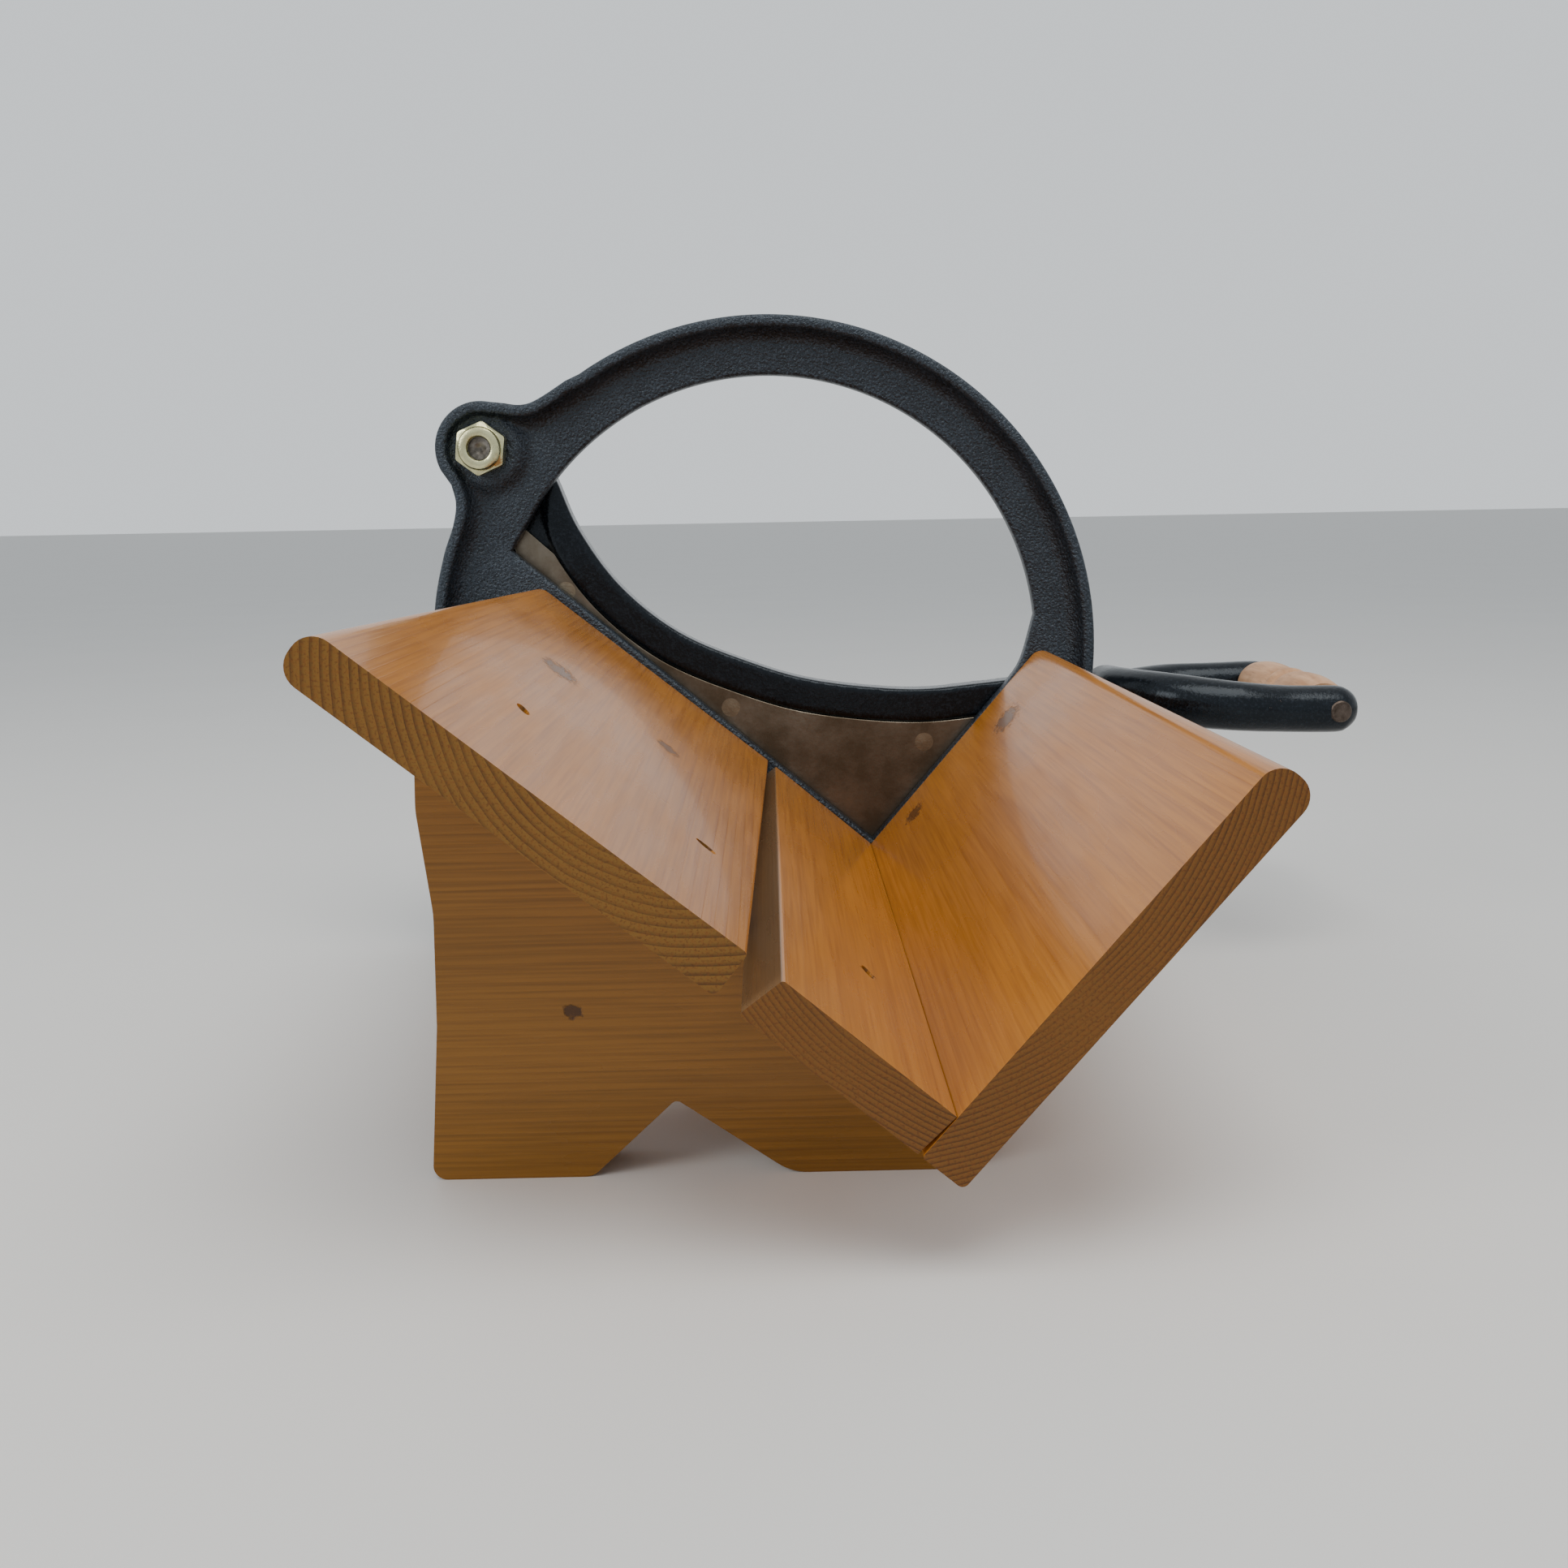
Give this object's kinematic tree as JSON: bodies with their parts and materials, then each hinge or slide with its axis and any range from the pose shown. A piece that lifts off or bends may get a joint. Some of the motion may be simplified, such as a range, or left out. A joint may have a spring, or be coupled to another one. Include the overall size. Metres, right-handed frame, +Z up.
{
  "type": "bread_slicer",
  "caption": "Hand bread slicer: black cast-iron frame with a round opening, a swinging knife arm with a D handle, and a V trough of varnished pine boards on a wooden leg",
  "frame": {"origin": "middle of the object's box, on the surface that it stands on", "axes": "+X from the pivot side to the handle side, +Y from the trough to the knife, +Z up"},
  "size_m": [0.3831, 0.3667, 0.2615],
  "materials": {
    "black_iron": "satin",
    "blade_steel": "satin",
    "steel": "satin",
    "zinc": "satin",
    "pine": "gloss",
    "grip_wood": "satin"
  },
  "bodies": {
    "frame": {"frame_casting": "black_iron", "left_board": "pine", "narrow_board": "pine", "right_board": "pine", "front_leg": "pine", "pivot_nut": "zinc", "pivot_bolt": "zinc", "pivot_washer": "zinc", "stop_pin": "steel", "nail_left_outer": "steel", "nail_left_inner": "steel", "nail_narrow": "steel", "board_screw_1": "steel", "board_screw_2": "steel", "board_screw_3": "steel", "board_screw_4": "steel", "board_screw_5": "steel"},
    "knife": {"knife_arm": "black_iron", "blade": "blade_steel", "grip_rod": "steel", "rivet_1": "steel", "rivet_2": "steel", "rivet_3": "steel", "rivet_4": "steel"},
    "grip": {"grip": "grip_wood"}
  },
  "joints": [
    {"name": "knife_swing", "type": "hinge", "parent": "frame", "child": "knife", "pos_m": [-0.162, 0.123, 0.2107], "axis": [0, -1, 0], "range_deg": [0, 80]},
    {"name": "grip_spin", "type": "hinge", "parent": "knife", "child": "grip", "pos_m": [0.18, 0.12275, 0.1014], "axis": [0, -1, 0], "continuous": true}
  ]
}
